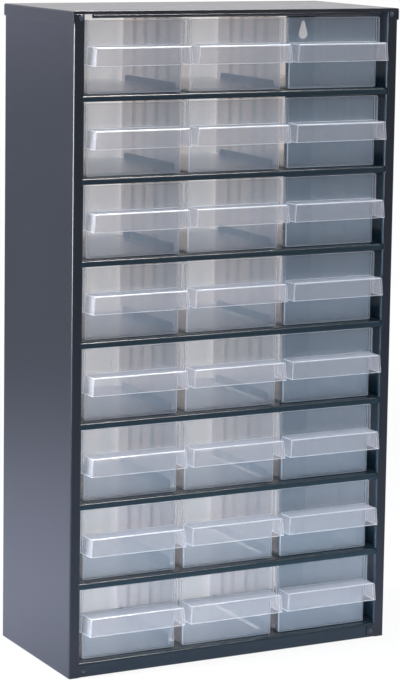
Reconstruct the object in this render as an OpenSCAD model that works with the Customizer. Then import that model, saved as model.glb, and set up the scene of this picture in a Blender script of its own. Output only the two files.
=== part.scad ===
// Small parts drawer cabinet: a casing folded from painted sheet steel, open at the
// back, with shelves that carry rows of clear plastic drawers.
// X runs across the front, Y runs back from the front and Z is up. The origin is at
// the bottom centre of the whole cabinet, with the drawers' handles included.

/* [Layout] */
// Rows of drawers
rows = 8; // [2:1:10]
// Columns of drawers
columns = 3; // [1:1:4]

/* [Drawer tub] */
// Outside width of the tub
tub_w = 86.2; // [76:0.1:88]
// Outside height of the tub
tub_h = 60.2; // [50:0.1:80]
// Outside length of the tub
tub_l = 130; // [120:1:170]
// Thickness of the tub's walls and floor
tub_wall = 1.3; // [1:0.1:2]
// Outside radius of the tub's lower edges
tub_edge_r = 3; // [2.2:0.1:5]
// Outside radius of the tub's upright corners
tub_corner_r = 2; // [1:0.1:4]
// Compartments that the divider ribs mark out
compartments = 3; // [2:1:4]
// How far a divider rib stands out of the wall
rib_out = 1.2; // [0.6:0.1:2]
// Thickness of a divider rib
rib_t = 1; // [0.8:0.1:1.6]
// Gap between the two ribs that hold a divider
rib_slot = 1.6; // [1:0.1:2.4]
// How far the ribs stop below the rim
rib_short = 4; // [2:0.5:12]
// Height of the stop nibs above the back wall
nib_h = 2.6; // [2.3:0.1:3]
// Width of a stop nib
nib_w = 8; // [4:0.5:14]
// Distance of a stop nib from the tub's centre line
nib_x = 26; // [12:1:32]

/* [Drawer front] */
// Width of the drawer's front plate above the handle's lower edge
front_w = 90.9; // [89.6:0.1:94]
// Thickness of the front plate
front_t = 1.4; // [1:0.1:2]
// Radius of the front plate's upper corners
front_r = 2; // [1:0.5:4]
// Height of the handle's lower edge above the tub's floor
handle_z = 23.9; // [12:0.1:34]
// Height of the handle
handle_h = 15.4; // [12:0.1:22]
// How far the handle's lower edge stands out of the drawer's front
handle_out = 17.5; // [12:0.1:22]
// How much less the handle's upper edge stands out
handle_lean = 0.6; // [0.1:0.1:2]
// Width of the handle at its lower edge
handle_w = 88.2; // [80:0.1:89.4]
// How much narrower each end of the handle is at the top
handle_taper = 1.1; // [0.1:0.1:3]
// Thickness of the handle's walls
handle_wall = 1.2; // [0.8:0.1:1.8]
// Radius of the handle's upper edges
handle_r = 1.8; // [1.3:0.1:3]

/* [Gaps around a drawer] */
// Gap between the fronts of two drawers side by side
column_gap = 2.6; // [1.5:0.1:6]
// Gap between the outermost drawer front and the casing's front flange
flange_gap = 3.55; // [1:0.05:8]
// Gap under a drawer
under_gap = 0.3; // [0.2:0.05:0.6]
// Gap between a drawer's rim and the shelf lip above it
over_gap = 1.9; // [1:0.1:2.2]
// How far the drawer's front lies behind the casing's front
setback = 8; // [1.2:0.1:9]
// Gap between a closed drawer and its stop at the back
stop_gap = 0.7; // [0.6:0.1:2]

/* [Casing] */
// Thickness of the side panels, the cap and the bottom panel
sheet = 1; // [0.8:0.1:1.4]
// Outside radius of the casing's folds
bend_r = 1.5; // [1.5:0.1:2]
// Width of the side panels' front flanges
front_flange = 9.5; // [8.5:0.1:14]
// Depth of the hem folded back along a front flange
hem_d = 3; // [2.6:0.1:6]
// Width of the side panels' rear flanges
rear_flange = 30; // [24:0.5:45]
// Height of the bottom panel's upper face
floor_h = 12; // [10.5:0.1:30]
// Width of the fold under the bottom panel's front rail
foot_fold = 9; // [5:0.5:20]
// Height of the cap's sides
skirt_h = 10; // [8:0.1:16]
// Height of the rail between the top row and the cap's upper face
rail_h = 5.8; // [5.5:0.1:8]
// Height of the fold along the cap's front edge
cap_fold = 2.2; // [2:0.05:2.4]
// Outside radius of the rolled bead under that fold
bead_r = 1.65; // [1.5:0.05:1.8]
// Distance from the front flange to the end of the bead
bead_short = 7.5; // [4:0.5:16]

/* [Shelves] */
// Thickness of a shelf
shelf_t = 0.8; // [0.7:0.1:1]
// Height of a shelf's front lip
lip_h = 5; // [4:0.1:8]
// Outside radius of the fold along a shelf's front edge
nose_r = 2; // [1.5:0.1:3]
// Height of the fold along a shelf's back edge, which stops the nibs of the row below
stop_h = 5; // [4.8:0.1:8]
// Depth of a shelf's end flanges
end_h = 10; // [5:0.5:20]
// Height of a drawer guide, bent up out of the shelf
guide_h = 6.8; // [4:0.1:10]
// Length of a drawer guide
guide_l = 96; // [60:1:104]
// Distance of a guide's front end behind the casing's front
guide_y = 27; // [12:1:30]
// Radius of a guide's back corner, twice that of its front corner
guide_r = 4; // [2:0.5:6]
// How far a shelf's end shows through the notch in the front flange
notch_w = 1.6; // [1.2:0.1:3]

/* [Fixings] */
// Radius of a rivet's shank
rivet_r = 1.4; // [1:0.1:1.8]
// Radius of a rivet's head
rivet_head_r = 2.1; // [1.9:0.1:2.5]
// Height of a rivet's head
rivet_head_h = 0.7; // [0.5:0.1:1]
// How far a rivet's closed end is wider than its shank, all round
rivet_end = 0.4; // [0.3:0.1:0.8]
// Distance from a front flange's inner edge to the upper rivet
rivet_side = 3.3; // [3.2:0.1:5]
// Distance from the casing's top to the upper rivet
rivet_drop = 5.4; // [5:0.1:7]
// Width of the flange tab that holds the bottom rail
tab_w = 7; // [6:0.1:12]
// Height of that tab
tab_h = 8; // [6:0.1:8.5]
// Height of the tab's lower edge above the floor
tab_z = 1.5; // [0.5:0.1:2]
// Radius of the tab's free corners
tab_r = 1; // [0.5:0.1:2]
// Radius of the wide end of a wall keyhole
keyhole_r = 4.7; // [3.5:0.1:6]
// Radius of the narrow end of a wall keyhole
keyhole_slot_r = 1.8; // [1.4:0.1:2.5]
// Height from the wide end's centre to the narrow end's centre
keyhole_rise = 10; // [7:0.1:14]
// Distance from the casing's side to a keyhole
keyhole_side = 12.8; // [8:0.1:16]
// Distance from the casing's top to the keyhole's wide end
keyhole_drop = 29.6; // [24:0.1:60]

/* [Hidden] */
$fn = 48;
// how far a cut runs past a face, and how far joined shapes run into each other
eps = 0.01;
overlap = 0.2;
// clearance all round a rivet, and beside a hem
rivet_gap = 0.1;
hem_gap = 0.2;
// smallest radius of an inside corner of the tub
inside_r = 0.5;
// share by which a line ends short of the round edge that it joins
inset = 0.02;
column_pitch = front_w + column_gap;
row_pitch = under_gap + tub_h + over_gap + lip_h;
// casing: outside faces of the side panels, front plane to back plane, floor to top
casing_w = columns * front_w + (columns - 1) * column_gap + 2 * (flange_gap + front_flange);
casing_d = setback + tub_l + stop_gap + shelf_t + sheet;
casing_h = floor_h + rows * row_pitch - lip_h + rail_h;
cap_w = casing_w + 2 * sheet;
proud = handle_out - setback;
front_y = -(casing_d + proud) / 2 + proud;
back_y = front_y + casing_d;
inside_x = casing_w / 2 - sheet;
flange_x = casing_w / 2 - front_flange;
// Y of a shelf's front face, which lies against the back of the front flanges
lip_y = front_y + sheet;
stop_y = back_y - sheet;
drawer_y = front_y + setback;
// the rivet in each upper front corner, the cap's tab behind it, and the lower rivet
corner_rivet_x = flange_x + rivet_side;
corner_rivet_z = casing_h - rivet_drop;
corner_tab_x = flange_x + sheet + hem_gap;
tab_rivet_x = flange_x - tab_w / 2;
tab_rivet_z = tab_z + tab_h / 2;
keyhole_x = casing_w / 2 - keyhole_side;
keyhole_z = casing_h - keyhole_drop;
guide_x = [for (i = [0:columns]) (i - columns / 2) * column_pitch];

steel = "#2b3a47";
steel_dark = "#223040";
steel_light = "#35495a";
bright = "#8d949c";
clear = "#d5dade";

function shelf_z(row) = floor_h + (rows - row) * row_pitch;
function column_x(column) = (column - (columns + 1) / 2) * column_pitch;
function drawer_name(row, column) = str("drawer_row", row, "_col", column);
function shelf_name(row) = str("shelf_", row);

// rounded corners of a convex outline: b is the corner, a and c its neighbours
function unit(v) = v / norm(v);
function half_angle(a, b, c) = acos(unit(a - b) * unit(c - b)) / 2;
function arc_centre(a, b, c, r) =
    b + unit(unit(a - b) + unit(c - b)) * r / sin(half_angle(a, b, c));
function arc_ends(a, b, c, r) = r == 0 ? [b] :
    [for (p = [a, c]) b + unit(p - b) * r / tan(half_angle(a, b, c))];

// a convex outline with its own radius at each corner
module rounded_outline(points, radii) {
    n = len(points);
    union() {
        polygon([for (i = [0:n - 1])
            each arc_ends(points[(i + n - 1) % n], points[i], points[(i + 1) % n], radii[i])]);
        for (i = [0:n - 1])
            if (radii[i] > 0)
                translate(arc_centre(points[(i + n - 1) % n], points[i],
                                     points[(i + 1) % n], radii[i]))
                    circle(radii[i]);
    }
}

// an outline drawn in X and Z, run along Y from y0 to y1
module along_y(y0, y1) {
    translate([0, y1, 0]) rotate([90, 0, 0]) linear_extrude(y1 - y0) children();
}

// an outline drawn in Y and Z, run along X from x0 to x1
module along_x(x0, x1) {
    translate([x0, 0, 0]) rotate([90, 0, 90]) linear_extrude(x1 - x0) children();
}

// a box between two opposite corners
module block(low, high) {
    translate(low) cube(high - low);
}

// a shape on the right, and its mirror image on the left
module both_sides() {
    children();
    mirror([1, 0, 0]) children();
}

// a quarter turn of folded sheet about its centre, towards the signs of x and y
module fold(r, t, x, y) {
    intersection() {
        difference() {
            circle(r);
            circle(r - t);
        }
        translate([min(0, x * r), min(0, y * r)]) square(r);
    }
}

// plan of the left side panel, from its outside front corner
module side_panel_plan() {
    inner_x = front_flange - bend_r;
    union() {
        translate([0, bend_r]) square([sheet, casing_d - 2 * bend_r]);
        translate([bend_r, bend_r]) fold(bend_r, sheet, -1, -1);
        translate([bend_r, 0]) square([inner_x - bend_r, sheet]);
        translate([inner_x, bend_r]) fold(bend_r, sheet, 1, -1);
        translate([front_flange - sheet, bend_r]) square([sheet, hem_d - bend_r]);
        translate([bend_r, casing_d - bend_r]) fold(bend_r, sheet, -1, 1);
        translate([bend_r, casing_d - sheet]) square([rear_flange - bend_r, sheet]);
    }
}

// teardrop hole that hangs on a screw head, drawn in X and Z. Its straight sides start
// just inside the two round ends, and cross them a little past their tangent points
module keyhole() {
    lean = asin((keyhole_r - keyhole_slot_r) / keyhole_rise);
    side = (1 - inset) * [cos(lean), sin(lean)];
    wide = keyhole_r * side;
    narrow = [0, keyhole_rise] + keyhole_slot_r * side;
    union() {
        circle(keyhole_r);
        translate([0, keyhole_rise]) circle(keyhole_slot_r);
        polygon([wide, narrow, [-narrow[0], narrow[1]], [-wide[0], wide[1]]]);
    }
}

// the hole that a rivet passes, through everything between two values of Y
module rivet_hole(x, z, y0, y1) {
    translate([x, y0, z]) rotate([-90, 0, 0]) cylinder(r = rivet_r + rivet_gap, h = y1 - y0);
}

// side panel on the left: a channel with a hemmed front flange, a wide rear flange
// with a keyhole, and a tab that holds the bottom rail
module side_panel() {
    notch_x = flange_x + notch_w;
    hole_y = [front_y - eps, front_y + sheet + eps];
    color(steel) difference() {
        union() {
            translate([-casing_w / 2, front_y, 0])
                linear_extrude(casing_h - sheet) side_panel_plan();
            along_y(front_y, front_y + sheet)
                rounded_outline([[-flange_x + tab_w, tab_z], [-flange_x + tab_w, tab_z + tab_h],
                                 [-flange_x - sheet, tab_z + tab_h], [-flange_x - sheet, tab_z]],
                                [tab_r, tab_r, 0, 0]);
            // the tab runs on into the flange, without the hem
            block([-flange_x - bend_r, front_y, tab_z],
                  [-flange_x, front_y + sheet, tab_z + tab_h]);
        }
        for (row = [1:rows - 1])
            block([-notch_x, front_y - eps, shelf_z(row) - lip_h - overlap],
                  [-flange_x + eps, front_y + hem_d + eps, shelf_z(row) + overlap]);
        // the hem ends above the bottom panel
        block([-flange_x - sheet - eps, lip_y, -eps],
              [-flange_x + eps, front_y + hem_d + eps, floor_h + overlap]);
        // the flange ends below the fold of the cap
        block([-casing_w / 2 - eps, front_y - eps, casing_h - cap_fold - overlap],
              [-casing_w / 2 + front_flange + eps, front_y + sheet, casing_h]);
        // the hem ends at the upper edge of the top row
        block([-flange_x - sheet - eps, lip_y, casing_h - rail_h],
              [-flange_x + eps, front_y + hem_d + eps, casing_h]);
        rivet_hole(-corner_rivet_x, corner_rivet_z, hole_y[0], hole_y[1]);
        rivet_hole(-tab_rivet_x, tab_rivet_z, hole_y[0], hole_y[1]);
        along_y(back_y - sheet - eps, back_y + eps)
            translate([-keyhole_x, keyhole_z]) keyhole();
    }
}

// cap: a shallow tray turned over, with sides outside the side panels, a rolled bead
// along the front and a fold at the back between the drawers and the rear flanges
module top_cap() {
    z0 = casing_h - skirt_h;
    bead_x = flange_x - bead_short;
    bead_y = front_y + bead_r;
    bead_z = casing_h - rail_h + bead_r;
    color(steel_light) difference() {
        union() {
            along_y(front_y, back_y) union() {
                translate([-cap_w / 2 + bend_r, casing_h - sheet])
                    square([cap_w - 2 * bend_r, sheet]);
                for (side = [-1, 1]) {
                    translate([side * (cap_w / 2 - bend_r), casing_h - bend_r])
                        fold(bend_r, sheet, side, 1);
                    translate([side * (cap_w - sheet) / 2 - sheet / 2, z0])
                        square([sheet, skirt_h - bend_r]);
                }
            }
            block([-casing_w / 2, front_y, casing_h - cap_fold],
                  [casing_w / 2, front_y + sheet, casing_h - sheet / 2]);
            // the step behind the fold, and the bead
            block([-bead_x, front_y + sheet - overlap, bead_z],
                  [bead_x, front_y + 2 * sheet - overlap, casing_h - sheet / 2]);
            along_x(-bead_x, bead_x) translate([bead_y, bead_z]) difference() {
                circle(bead_r);
                circle(bead_r - sheet);
            }
            // back fold, inside the rear flanges
            block([-inside_x, stop_y - sheet, z0], [inside_x, stop_y, casing_h - sheet / 2]);
            // tabs that the corner rivets hold
            both_sides()
                block([corner_tab_x, lip_y, z0], [inside_x, lip_y + sheet, casing_h - sheet / 2]);
        }
        both_sides()
            rivet_hole(corner_rivet_x, corner_rivet_z, lip_y - eps, lip_y + sheet + eps);
    }
}

// one drawer guide, bent up out of a plate whose upper face is at z
module guide(x, z, t) {
    y0 = front_y + guide_y;
    y1 = y0 + guide_l;
    along_x(x - t / 2, x + t / 2)
        rounded_outline([[y0, z - t], [y1, z - t], [y1, z + guide_h], [y0, z + guide_h]],
                        [0, 0, guide_r, guide_r / 2]);
}

// the slot that a guide leaves beside it, on the side towards the centre
module guide_slot(x, z, t) {
    y0 = front_y + guide_y;
    side = x < 0 ? 1 : -1;
    middle = x + side * (t + guide_h) / 2;
    block([middle - guide_h / 2, y0, z - t - eps], [middle + guide_h / 2, y0 + guide_l, z + eps]);
}

// the plate that carries one row: front fold and lip, back edge turned down to stop the
// row below, and end flanges. t is its sheet, and drop is the height of its lip
module row_plate(z, t, drop) {
    union() {
        along_x(-inside_x, inside_x) union() {
            translate([lip_y + nose_r, z - t])
                square([stop_y - lip_y - 2 * nose_r, t]);
            translate([lip_y + nose_r, z - nose_r]) fold(nose_r, t, -1, 1);
            translate([lip_y, z - drop]) square([t, drop - nose_r]);
            translate([stop_y - nose_r, z - nose_r]) fold(nose_r, t, 1, 1);
            translate([stop_y - t, z - stop_h]) square([t, stop_h - nose_r]);
        }
        both_sides()
            block([inside_x - t, lip_y + nose_r, z - end_h],
                  [inside_x, stop_y - nose_r, z - t / 2]);
    }
}

module shelf(row) {
    z = shelf_z(row);
    color(steel_dark) union() {
        difference() {
            row_plate(z, shelf_t, lip_h);
            for (x = guide_x) guide_slot(x, z, shelf_t);
        }
        for (x = guide_x) guide(x, z, shelf_t);
    }
}

// bottom panel: like a shelf, with a deep front rail that ends in a foot fold
module bottom_panel() {
    color(steel) difference() {
        union() {
            difference() {
                row_plate(floor_h, sheet, floor_h);
                for (x = guide_x) guide_slot(x, floor_h, sheet);
            }
            for (x = guide_x) guide(x, floor_h, sheet);
            block([-inside_x, lip_y + sheet / 2, 0], [inside_x, lip_y + foot_fold, sheet]);
        }
        both_sides()
            rivet_hole(tab_rivet_x, tab_rivet_z, lip_y - eps, lip_y + sheet + eps);
    }
}

// a rivet through two sheets, its domed head in front of the first one
module rivet(x, z) {
    dome_r = (rivet_head_r ^ 2 + rivet_head_h ^ 2) / (2 * rivet_head_h);
    end = -2 * sheet - rivet_head_h;
    translate([x, front_y, z]) rotate([90, 0, 0]) union() {
        translate([0, 0, end]) cylinder(r = rivet_r, h = overlap - end);
        translate([0, 0, end]) cylinder(r = rivet_r + rivet_end, h = rivet_head_h);
        rotate_extrude() intersection() {
            translate([0, rivet_head_h - dome_r]) circle(dome_r);
            square([rivet_head_r, rivet_head_h]);
        }
    }
}

module corner_rivets() {
    color(bright) both_sides() {
        rivet(corner_rivet_x, corner_rivet_z);
        rivet(tab_rivet_x, tab_rivet_z);
    }
}

// a box with rounded lower edges and upright corners, as the tub has it outside and,
// smaller by its wall, inside. Its front lower edge is at y0, and its floor is at z0
module tub_form(w, y0, y1, z0, z1, edge_r, corner_r) {
    intersection() {
        along_y(y0, y1)
            rounded_outline([[-w / 2, z0], [w / 2, z0], [w / 2, z1], [-w / 2, z1]],
                            [edge_r, edge_r, 0, 0]);
        along_x(-w / 2, w / 2)
            rounded_outline([[y0, z0], [y1, z0], [y1, z1], [y0, z1]], [edge_r, edge_r, 0, 0]);
        translate([0, 0, z0]) linear_extrude(z1 - z0)
            rounded_outline([[-w / 2, y0], [w / 2, y0], [w / 2, y1], [-w / 2, y1]],
                            [for (i = [0:3]) corner_r]);
    }
}

// outer form of the handle, or its hollow when it is drawn in by a wall
module handle_form(wall) {
    z0 = handle_z - (wall > 0 ? overlap : 0);
    z1 = handle_z + handle_h - wall;
    spread = handle_taper / handle_h;
    lean = handle_lean / handle_h;
    w = handle_w / 2 - wall;
    out = handle_out - wall;
    r = handle_r - wall;
    intersection() {
        along_y(-handle_out, wall > 0 ? 0 : front_t / 2)
            rounded_outline([[-w - spread * (handle_z - z0), z0], [w + spread * (handle_z - z0), z0],
                             [w - spread * (z1 - handle_z), z1], [-w + spread * (z1 - handle_z), z1]],
                            [0, 0, r, r]);
        along_x(-handle_w / 2, handle_w / 2)
            rounded_outline([[front_t, z0], [front_t, z1],
                             [-out + lean * (z1 - handle_z), z1], [-out - lean * (handle_z - z0), z0]],
                            [0, 0, r, 0]);
    }
}

// front plate, wider than the tub from the handle's lower edge up
module front_plate() {
    along_y(0, front_t)
        rounded_outline([[-front_w / 2, handle_z], [front_w / 2, handle_z],
                         [front_w / 2, tub_h], [-front_w / 2, tub_h]],
                        [0, 0, front_r, front_r]);
}

// a pair of ribs on each side wall at each divider's place
module divider_ribs() {
    inner_x = tub_w / 2 - tub_wall;
    for (i = [1:compartments - 1])
        for (place = [-rib_slot / 2 - rib_t, rib_slot / 2]) {
            y = i * tub_l / compartments + place;
            both_sides()
                block([inner_x - rib_out, y, tub_wall - overlap],
                      [inner_x + overlap, y + rib_t, tub_h - rib_short]);
        }
}

// one drawer, with its front at y = 0 and its floor at z = 0
module drawer_form() {
    union() {
        difference() {
            union() {
                tub_form(tub_w, 0, tub_l, 0, tub_h, tub_edge_r, tub_corner_r);
                front_plate();
                difference() {
                    handle_form(0);
                    handle_form(handle_wall);
                }
            }
            tub_form(tub_w - 2 * tub_wall, front_t, tub_l - tub_wall, tub_wall, tub_h + overlap,
                     tub_edge_r - tub_wall, max(tub_corner_r - tub_wall, inside_r));
        }
        divider_ribs();
        both_sides()
            block([nib_x - nib_w / 2, tub_l - tub_wall, tub_h - overlap],
                  [nib_x + nib_w / 2, tub_l, tub_h + nib_h]);
    }
}

module drawer(row, column) {
    color(clear) translate([column_x(column), drawer_y, shelf_z(row) + under_gap]) drawer_form();
}

side_panel();  // left_side_panel
mirror([1, 0, 0]) side_panel();  // right_side_panel
top_cap();
bottom_panel();
for (row = [1:rows - 1])
    shelf(row);
corner_rivets();
for (row = [1:rows]) for (column = [1:columns])
    drawer(row, column);
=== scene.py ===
import math

import bpy
from mathutils import Matrix, Vector


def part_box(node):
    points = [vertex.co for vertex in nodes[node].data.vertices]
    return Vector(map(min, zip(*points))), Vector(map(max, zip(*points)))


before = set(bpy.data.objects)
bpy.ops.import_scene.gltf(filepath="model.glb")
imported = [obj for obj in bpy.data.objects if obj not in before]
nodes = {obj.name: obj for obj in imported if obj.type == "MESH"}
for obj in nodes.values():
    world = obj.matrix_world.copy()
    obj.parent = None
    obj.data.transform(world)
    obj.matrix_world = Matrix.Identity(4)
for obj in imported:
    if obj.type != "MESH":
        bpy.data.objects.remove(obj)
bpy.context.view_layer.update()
scene = bpy.context.scene


# The camera stands to the left of the cabinet, a little above its top, and looks down at
# it through a long lens. Its film is shifted, so that the upright edges hardly converge.
picture_h_px = 680
focal_px = 2572.7
lens_axis_above_centre_px = 120
film_h = 36
camera_place = Vector((-1.0171, -1.9416, 0.6512))
turned_right = math.radians(27.606)
tipped_down = math.radians(7.349)
rolled = math.radians(0.838)

camera_data = bpy.data.cameras.new("camera")
camera_data.sensor_fit = "VERTICAL"
camera_data.sensor_height = film_h
camera_data.lens = focal_px / picture_h_px * film_h
camera_data.shift_y = -lens_axis_above_centre_px / picture_h_px
camera = bpy.data.objects.new("camera", camera_data)
aim = (Matrix.Rotation(-turned_right, 4, "Z")
       @ Matrix.Rotation(math.pi / 2 - tipped_down, 4, "X")
       @ Matrix.Rotation(rolled, 4, "Z"))
camera.matrix_world = Matrix.Translation(camera_place) @ aim
scene.collection.objects.link(camera)
scene.camera = camera
scene.view_settings.view_transform = "Standard"
# a line of sight can cross the walls of three drawers, each wall with two faces
scene.cycles.transparent_max_bounces = 40


# The side panels are channels folded from steel sheet, and stove enamelled dark blue
# after folding. Their front flanges are hemmed, and keyholes in the wide rear flanges
# hang the cabinet on two screws.
mm = 0.001  # the scene is in metres


class Shade:
    """An output of a node, so that a material's maths reads as plain expressions."""

    def __init__(self, tree, socket=None):
        self.tree = tree
        self.socket = socket

    def node(self, kind, settings=None, inputs=None, output=0):
        """Adds a node: its settings first, then the values or links of its sockets."""
        made = self.tree.nodes.new("ShaderNode" + kind)
        for name, value in (settings or {}).items():
            setattr(made, name, value)
        for name, value in (inputs or {}).items():
            if isinstance(value, Shade):
                self.tree.links.new(value.socket, made.inputs[name])
            else:
                made.inputs[name].default_value = value
        return Shade(self.tree, made.outputs[output]) if len(made.outputs) else None

    def maths(self, operation, first, second=0.0, clamp=False):
        return self.node("Math", {"operation": operation, "use_clamp": clamp},
                         {0: first, 1: second})

    def __add__(self, other):
        return self.maths("ADD", self, other)

    def __radd__(self, other):
        return self.maths("ADD", other, self)

    def __sub__(self, other):
        return self.maths("SUBTRACT", self, other)

    def __rsub__(self, other):
        return self.maths("SUBTRACT", other, self)

    def __mul__(self, other):
        return self.maths("MULTIPLY", self, other)

    def __rmul__(self, other):
        return self.maths("MULTIPLY", other, self)

    def __pow__(self, other):
        return self.maths("POWER", self, other)

    def __rpow__(self, other):
        return self.maths("POWER", other, self)

    def clamp(self):
        return self.maths("ADD", self, 0.0, clamp=True)

    def size(self):
        return self.maths("ABSOLUTE", self)

    def or_more(self, other):
        """The greater of the two."""
        return self.maths("MAXIMUM", self, other)

    def between(self, low, high):
        """0 where this is low, 1 where it is high, and smooth in between."""
        return self.node("MapRange", {"interpolation_type": "SMOOTHSTEP"},
                         {"Value": self, "From Min": low, "From Max": high})

    def mix(self, one, other):
        """From colour one, where this is 0, to the other colour, where it is 1."""
        return self.node("Mix", {"data_type": "RGBA"}, {0: self, 6: one, 7: other}, output=2)

    def blend(self, one, other):
        """From shader one, where this is 0, to the other shader, where it is 1."""
        return self.node("MixShader", None, {0: self, 1: one, 2: other})

    def along(self, axis):
        """The part of this place or direction that lies along an axis."""
        return self.node("SeparateXYZ", None, {0: self}, output=axis)

    def noise(self, scale, detail):
        """Soft noise over this place. The greater the scale, the smaller its spots."""
        return self.node("TexNoise", None, {"Vector": self, "Scale": scale, "Detail": detail})


def new_material(name):
    """A new material with an empty tree, and a Shade to build its nodes with."""
    material = bpy.data.materials.new(name)
    material.use_nodes = True
    material.node_tree.nodes.clear()
    return material, Shade(material.node_tree)


def edges(sheet, radius, samples=6):
    """1 along the outer and inner edges of a piece, and 0 a radius away from them."""
    rounded = sheet.node("Bevel", {"samples": samples}, {"Radius": radius})
    flat = sheet.node("NewGeometry", output="Normal")
    likeness = sheet.node("VectorMath", {"operation": "DOT_PRODUCT"}, {0: rounded, 1: flat},
                          output="Value")
    return (1 - likeness).between(0.0, 0.25)


def dress(names, material):
    for name in names:
        slots = nodes[name].data.materials
        slots.clear()
        slots.append(material)


def enamel(name, outer_blue, inside_painted_light, side_x, front_y):
    """Stove enamel on sheet steel: glossy and a little wavy, with a painted highlight on the thin
    edges and painted light inside.
    """
    material, paint = new_material(name)
    place = paint.node("TexCoord", output="Object")
    wave = place.noise(14.0, 1.0)
    peel = place.noise(520.0, 2.0)
    speck = place.noise(90.0, 4.0)
    # the change from the outer colour to the painted light inside lies within the sheet's thickness
    within = 1 - place.along("X").size().between(side_x - 0.9 * mm, side_x - 0.1 * mm)
    behind = place.along("Y").between(front_y, front_y + 1.0 * mm)
    # painted light: the inside of the casing is painted lighter, in place of light in its shade
    painted_light_inside = within * behind * (0.7 + 0.3 * speck)
    # the edges are lighter, as thinner enamel and as a painted highlight
    thin_and_highlit_edge = 0.6 * edges(paint, 0.6 * mm)
    thin_and_highlight_blue = (0.10, 0.115, 0.15, 1)
    wavy = paint.node("Bump", None, {"Strength": 0.35, "Distance": 0.6 * mm, "Height": wave})
    soft = paint.node("Bevel", {"samples": 4}, {"Radius": 0.5 * mm, "Normal": wavy})
    grain = paint.node("Bump", None, {"Strength": 0.05, "Distance": 0.04 * mm, "Height": peel,
                                      "Normal": soft})
    surface = paint.node("BsdfPrincipled", None, {
        "Base Color": thin_and_highlit_edge.mix(painted_light_inside.mix(outer_blue, inside_painted_light), thin_and_highlight_blue),
        "Roughness": 0.17 + 0.08 * speck,
        "Normal": grain,
        "IOR": 1.52,
    })
    paint.node("OutputMaterial", None, {"Surface": surface})
    return material


dark_blue = (0.0120, 0.0155, 0.0225, 1)
# painted light: the panels are painted lighter and bluer within the casing, where shade falls, and
# on their rear flanges
panel_painted_light_blue = (0.052, 0.112, 0.165, 1)
panel_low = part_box("left_side_panel")[0]
casing_side, casing_front = -panel_low[0], panel_low[1]
dress(["left_side_panel", "right_side_panel"],
      enamel("casing_enamel", dark_blue, panel_painted_light_blue, casing_side, casing_front))


# The bottom panel is the lowest shelf. Its front edge runs down as a rail to the folded
# foot, and tabs of the side panels are riveted over the rail's ends.
shelf_blue = (0.0075, 0.0240, 0.0370, 1)
# painted light: the shelves are painted lighter and bluer within the casing, where shade falls
shelf_painted_light_blue = (0.025, 0.055, 0.080, 1)
# the rail, and a shelf's rolled lip, reach this far back
lip_depth = 4 * mm
shelf_enamel = enamel("shelf_enamel", shelf_blue, shelf_painted_light_blue, casing_side,
                      casing_front + lip_depth)
dress(["bottom_panel"], shelf_enamel)


# The shelves are plates with a rolled front edge, and each has four guides bent up out
# of it. They are enamelled like the bottom panel, and drawers slide on them.
dress([name for name in nodes if name.startswith("shelf_")], shelf_enamel)


# The cap is a shallow tray turned over the side panels, with a rolled bead along its
# front edge. Its enamel has the casing's outer colour all over.
dress(["top_cap"], enamel("cap_enamel", dark_blue, dark_blue, casing_side, casing_front))


# Four small blind rivets hold the cap and the rail. Their domed heads are enamelled with
# the casing, thinly enough for the metal to show.
def rivet_steel():
    material, metal = new_material("rivet_steel")
    patch = metal.node("TexCoord", output="Object").noise(1400.0, 3.0)
    bare = patch.between(0.5, 0.62)
    enamel_blue = (0.02, 0.03, 0.045, 1)
    steel_grey = (0.16, 0.19, 0.24, 1)
    surface = metal.node("BsdfPrincipled", None, {
        "Base Color": bare.mix(enamel_blue, steel_grey),
        "Metallic": 0.7 * bare,
        "Roughness": 0.28 + 0.12 * patch,
    })
    metal.node("OutputMaterial", None, {"Surface": surface})
    return material


dress(["corner_rivets"], rivet_steel())
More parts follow.
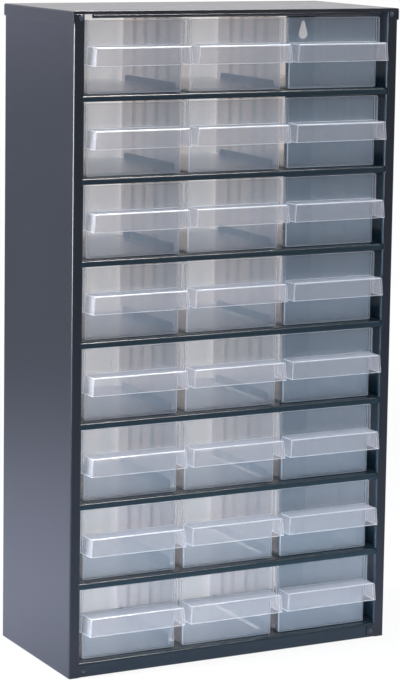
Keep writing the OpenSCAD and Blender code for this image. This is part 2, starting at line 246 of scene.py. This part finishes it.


# The drawers are moulded in one piece from natural polypropylene: clear enough to see
# through, with a cool milky haze. Their edges have a painted highlight and a painted glow.
def clear_plastic(front_y, back_y):
    material, plastic = new_material("clear_plastic")
    place = plastic.node("TexCoord", output="Object")
    depth = place.along("Y")
    handle = 1 - depth.between(front_y - 2.2 * mm, front_y - 0.2 * mm)
    front = 1 - depth.between(front_y + 1.6 * mm, front_y + 2.4 * mm)
    inside = depth.between(front_y + 2.5 * mm, front_y + 6.0 * mm)
    forward = 1 - depth.between(front_y, back_y)
    near_back = depth.between(back_y - 22.0 * mm, back_y - 4.0 * mm)
    back = depth.between(back_y - 2.4 * mm, back_y - 1.6 * mm)

    # the divider ribs stand at thirds of the length, and are painted darker than the walls as
    # painted shade
    third = (back_y - front_y) / 3
    ribs = sum(1 - (depth - rib_y).size().between(1.6 * mm, 3.0 * mm)
               for rib_y in (front_y + third, front_y + 2 * third))
    rib_shade_share = 0.6 * ribs

    # a painted highlight and painted glow along the edges, weaker along round ones and inside the
    # tub
    normal = plastic.node("TexCoord", output="Normal")
    facing = plastic.node("VectorMath", {"operation": "ABSOLUTE"}, {0: normal})
    flat = facing.along("X").or_more(facing.along("Y")).or_more(facing.along("Z"))
    painted_round_highlight = 0.6 * (1 - flat).between(0.06, 0.27)
    painted_edge_light = edges(plastic, 0.9 * mm, samples=8).or_more(painted_round_highlight) * (1 - 0.75 * inside)

    # streaks run down the back wall, because the noise is stretched upwards
    flow = plastic.node("Mapping", None, {"Vector": place, "Scale": (1.0, 1.0, 0.12)})
    streak = flow.noise(60.0, 1.0).between(0, 0.8)
    haze = (0.01 + 0.07 * forward + 0.06 * near_back + 0.17 * front + 0.14 * back * streak
            + 0.10 * ribs - 0.11 * handle)
    # the more a line of sight slants through a wall, the more haze it meets
    slant = plastic.node("LayerWeight", None, {"Blend": 0.5}, output="Facing")
    path = (1.08 - slant) ** -1
    milky = (1 - (1 - haze).clamp() ** path + 0.60 * painted_edge_light).clamp()

    milk_blue = (0.58, 0.745, 0.92, 1)
    # painted shade: the ribs are coloured darker than the walls
    rib_painted_shade = (0.12, 0.14, 0.19, 1)
    handle_milk = (0.80, 0.86, 0.98, 1)
    painted_highlight_white = (0.94, 0.96, 1.0, 1)
    painted_glow_grey = (0.45, 0.45, 0.49, 1)
    clear_tint = (0.984, 0.957, 0.935, 1)
    milk_colour = handle.mix(rib_shade_share.mix(milk_blue, rib_painted_shade), handle_milk)
    sink = place.noise(22.0, 0.0)
    uneven = plastic.node("Bump", None, {"Strength": 0.3, "Distance": 0.4 * mm, "Height": sink})
    # the edges get a painted highlight in their colour and a painted glow from their emission
    milk = plastic.node("BsdfPrincipled", None, {
        "Base Color": painted_edge_light.mix(milk_colour, painted_highlight_white),
        "Roughness": 0.45,
        "Specular IOR Level": 0.2,
        "Normal": uneven,
        "Emission Color": painted_edge_light.mix((0, 0, 0, 1), painted_glow_grey),
        "Emission Strength": 1.0,
    })
    wall_glow = plastic.node("BsdfTranslucent", None, {"Color": milk_blue})
    rib_shade_glow = plastic.node("BsdfTranslucent", None, {"Color": rib_painted_shade})
    handle_glow = plastic.node("BsdfTranslucent", None, {"Color": handle_milk})
    glow = handle.blend(rib_shade_share.blend(wall_glow, rib_shade_glow), handle_glow)
    share_through = 0.45
    scattered = plastic.node("MixShader", None, {0: share_through, 1: milk, 2: glow})
    clear = plastic.node("BsdfTransparent", None, {"Color": clear_tint})

    # the walls mirror little where they face the view, and much at a grazing angle
    grazing = plastic.node("LayerWeight", None, {"Blend": 0.5, "Normal": uneven}, output="Facing")
    mirrored = 0.04 + 0.92 * grazing ** 5
    gloss = plastic.node("BsdfGlossy", None, {"Color": (1, 1, 1, 1), "Roughness": 0.20,
                                              "Normal": uneven})
    surface = mirrored.blend(milky.blend(clear, scattered), gloss)
    plastic.node("OutputMaterial", None, {"Surface": surface})
    return material


drawer_names = [name for name in nodes if name.startswith("drawer_")]
# the tub's front face lies behind the handle, which stands out of it
handle_out = 17.5 * mm
drawer_low, drawer_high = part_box(drawer_names[0])
dress(drawer_names, clear_plastic(drawer_low[1] + handle_out, drawer_high[1]))


# The floor is white paper that keeps the cabinet's soft shadow. The view sees it as nearly
# plain white, gloss mirrors a painted bluish glow in it, and far paper is painted grey, a painted
# fall-off of light.
def seen_by_view(shade):
    """1 for the view, and for what is seen through something clear."""
    look = shade.node("LightPath", output="Is Camera Ray")
    through = shade.node("LightPath", output="Is Transmission Ray")
    return (look + through).clamp()


def white_paper():
    material, paper = new_material("white_paper")
    mirrored = paper.node("LightPath", output="Is Glossy Ray")
    place = paper.node("TexCoord", output="Object")
    back = place.along("Y").between(-0.35, 0.25)
    away = paper.node("VectorMath", {"operation": "LENGTH"}, {0: place}, output="Value")
    far = away.between(0.15, 1.5)
    fibre = place.noise(40.0, 4.0)
    near_colour = fibre.mix((0.86, 0.86, 0.87, 1), (0.89, 0.89, 0.90, 1))
    # painted fall-off of light: the paper is painted grey far from the cabinet
    painted_dim_far = (0.30, 0.30, 0.32, 1)
    sheet = paper.node("BsdfPrincipled", None, {
        "Base Color": far.mix(near_colour, painted_dim_far),
        "Roughness": 0.9,
        "Specular IOR Level": 0.0,
    })
    front_gleam = paper.node("Emission", None, {"Color": (0.42, 0.47, 0.58, 1)})
    back_gleam = paper.node("Emission", None, {"Color": (1.20, 1.25, 1.60, 1)})
    far_gleam = paper.node("Emission", None, {"Color": (0.28, 0.28, 0.33, 1)})
    white = paper.node("Emission", None, {"Color": (1, 1, 1, 1)})
    gleam = far.blend(back.blend(front_gleam, back_gleam), far_gleam)
    plain = seen_by_view(paper) * (0.86 + 0.14 * far)
    surface = plain.blend(mirrored.blend(sheet, gleam), white)
    paper.node("OutputMaterial", None, {"Surface": surface})
    return material


floor_half = 8.0
# the paper lies a hair under the feet, so that no faces fight
floor_z = -0.3 * mm
floor_mesh = bpy.data.meshes.new("floor")
floor_mesh.from_pydata([(-floor_half, -floor_half, 0), (floor_half, -floor_half, 0),
                        (floor_half, floor_half, 0), (-floor_half, floor_half, 0)],
                       [], [(0, 1, 2, 3)])
floor_mesh.materials.append(white_paper())
floor = bpy.data.objects.new("floor", floor_mesh)
floor.location.z = floor_z
scene.collection.objects.link(floor)


# The light is a pale room, dim behind the view, with soft boxes over the cabinet's right
# and at its left, and a low one in place of light off the floor. Brighter boxes that only
# gloss mirrors draw the bright lines along the folds.
def pale_room(level):
    world = bpy.data.worlds.new("pale_room")
    world.use_nodes = True
    world.node_tree.nodes.clear()
    room = Shade(world.node_tree)
    seen = seen_by_view(room)
    glossy = room.node("LightPath", output="Is Glossy Ray")
    shown = (seen + glossy).clamp()
    towards = room.node("TexCoord", output="Generated")
    left_wall, right_wall = (0.72, 0.70, 0.86, 1), (0.84, 0.83, 0.85, 1)
    wall_behind_view = (0.34, 0.29, 0.28, 1)
    cool_light = (0.88, 0.93, 1.0, 1)
    back_wall = towards.along("X").between(-0.6, 0.5).mix(left_wall, right_wall)
    wall = towards.along("Y").between(-0.7, 0.3).mix(wall_behind_view, back_wall)
    colour = seen.mix(glossy.mix(cool_light, wall), (1, 1, 1, 1))
    strength = level + (1 - level) * shown
    sky = room.node("Background", None, {"Color": colour, "Strength": strength})
    room.node("OutputWorld", None, {"Surface": sky})
    return world


def soft_box(name, place, aim_at, width, height, radiance, gloss=True, diffuse=True):
    """An area lamp that the view doesn't see."""
    lamp = bpy.data.lights.new(name, "AREA")
    lamp.shape = "RECTANGLE"
    lamp.size = width
    lamp.size_y = height
    lamp.energy = radiance * math.pi * width * height
    box = bpy.data.objects.new(name, lamp)
    box.location = place
    box.rotation_euler = (Vector(aim_at) - Vector(place)).to_track_quat("-Z", "Y").to_euler()
    box.visible_camera = False
    box.visible_glossy = gloss
    box.visible_diffuse = diffuse
    scene.collection.objects.link(box)


room_level = 0.74
scene.world = pale_room(room_level)
middle = (0, 0, 0.4)
at_left, left_face = (-1.25, 0.13, 0.52), (-0.15, 0.13, 0.52)
at_front_left, front_edge = (-1.30, -0.22, 0.52), (-0.15, -0.06, 0.52)
over_right, over_front_right = (0.55, -0.40, 2.1), (0.42, -0.35, 2.1)
before_feet, straight_up = (0, -0.25, 0.005), (0, -0.25, 1)
soft_box("top_box", over_right, middle, width=0.7, height=0.7, radiance=13)
soft_box("top_glint", over_front_right, middle, width=0.6, height=1.0, radiance=50, diffuse=False)
soft_box("left_box", at_left, left_face, width=0.4, height=0.8, radiance=26)
soft_box("left_glint", at_left, left_face, width=0.3, height=0.8, radiance=90, diffuse=False)
soft_box("front_glint", at_front_left, front_edge, width=0.3, height=0.8, radiance=14, diffuse=False)
soft_box("floor_bounce", before_feet, straight_up, width=0.9, height=0.32, radiance=2, gloss=False)
